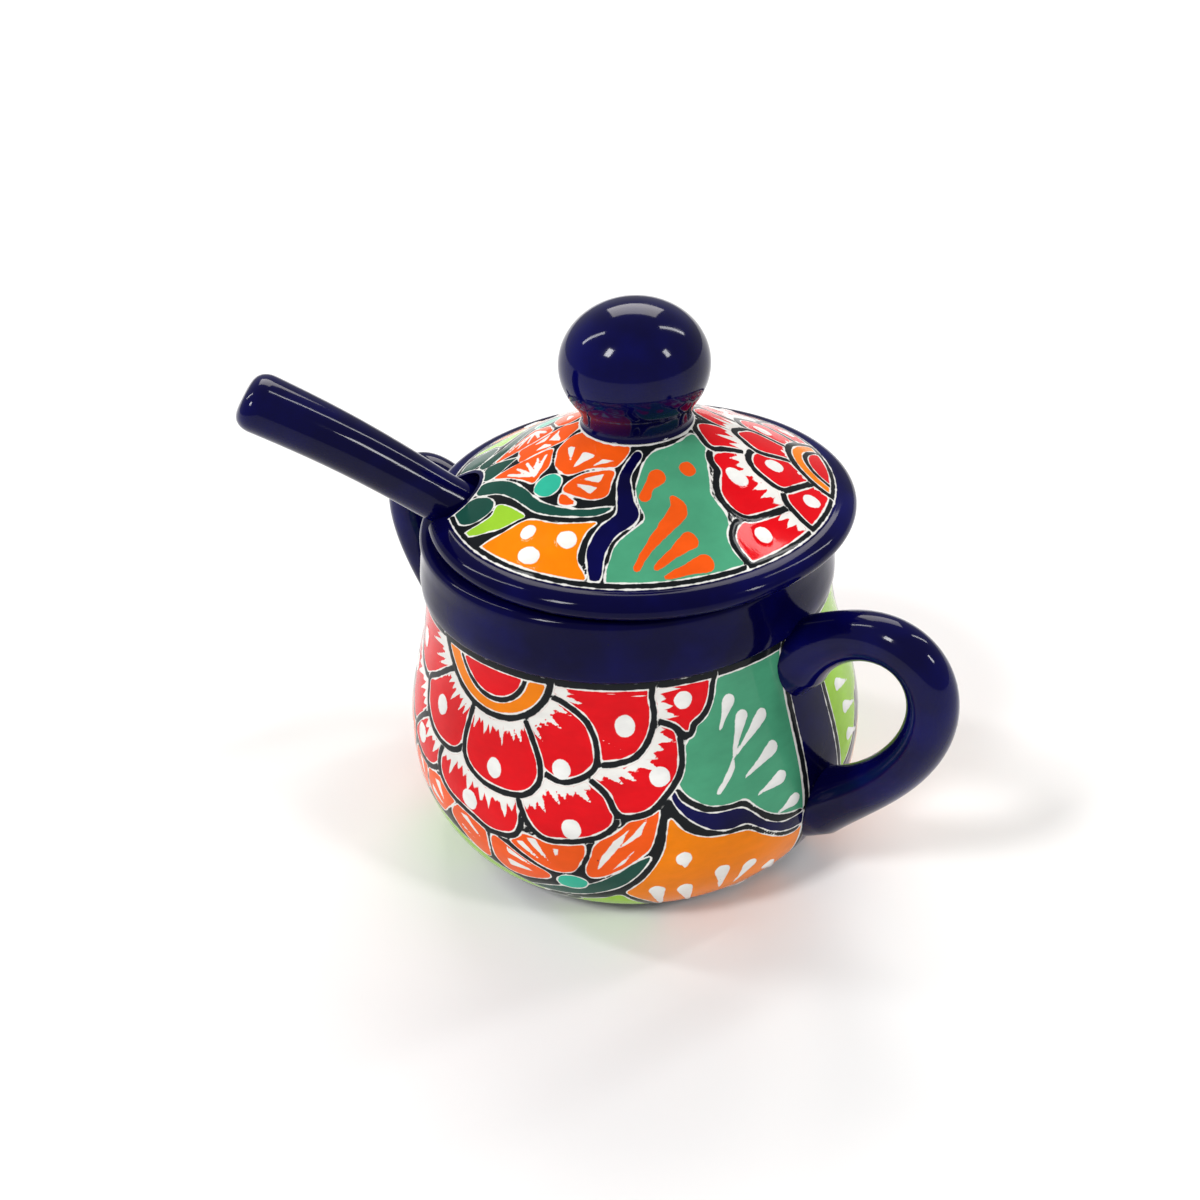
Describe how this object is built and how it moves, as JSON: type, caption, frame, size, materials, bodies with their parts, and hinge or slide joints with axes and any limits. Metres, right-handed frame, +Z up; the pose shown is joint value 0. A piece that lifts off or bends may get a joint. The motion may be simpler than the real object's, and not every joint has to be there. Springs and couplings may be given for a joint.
{
  "type": "sugar jar",
  "caption": "Round-bellied glazed earthenware sugar jar with loop handles, a domed lid with a ball knob, and a ceramic spoon standing in a notch of the lid.",
  "frame": {"origin": "centre of the foot, on the surface that the jar stands on", "axes": "+Z up, +X to the right handle"},
  "size_m": [0.1731, 0.1182, 0.1351],
  "materials": {
    "painted_glaze": "hand-painted folk pattern under a clear gloss glaze on earthenware",
    "cobalt_glaze": "plain dark cobalt blue gloss glaze on earthenware"
  },
  "bodies": {
    "jar": {"jar_body": "painted_glaze", "right_handle": "cobalt_glaze", "left_handle": "cobalt_glaze"},
    "lid_assembly": {"lid": "painted_glaze", "lid_knob": "cobalt_glaze"},
    "spoon_body": {"spoon": "cobalt_glaze"}
  },
  "joints": [
    {"name": "lid_lift", "type": "slide", "parent": "jar", "child": "lid_assembly", "axis": [0, 0, 1], "range_m": [0, 0.12]},
    {"name": "spoon_slide", "type": "slide", "parent": "jar", "child": "spoon_body", "axis": [-0.605, -0.5447, 0.5807], "range_m": [0, 0.04]}
  ]
}
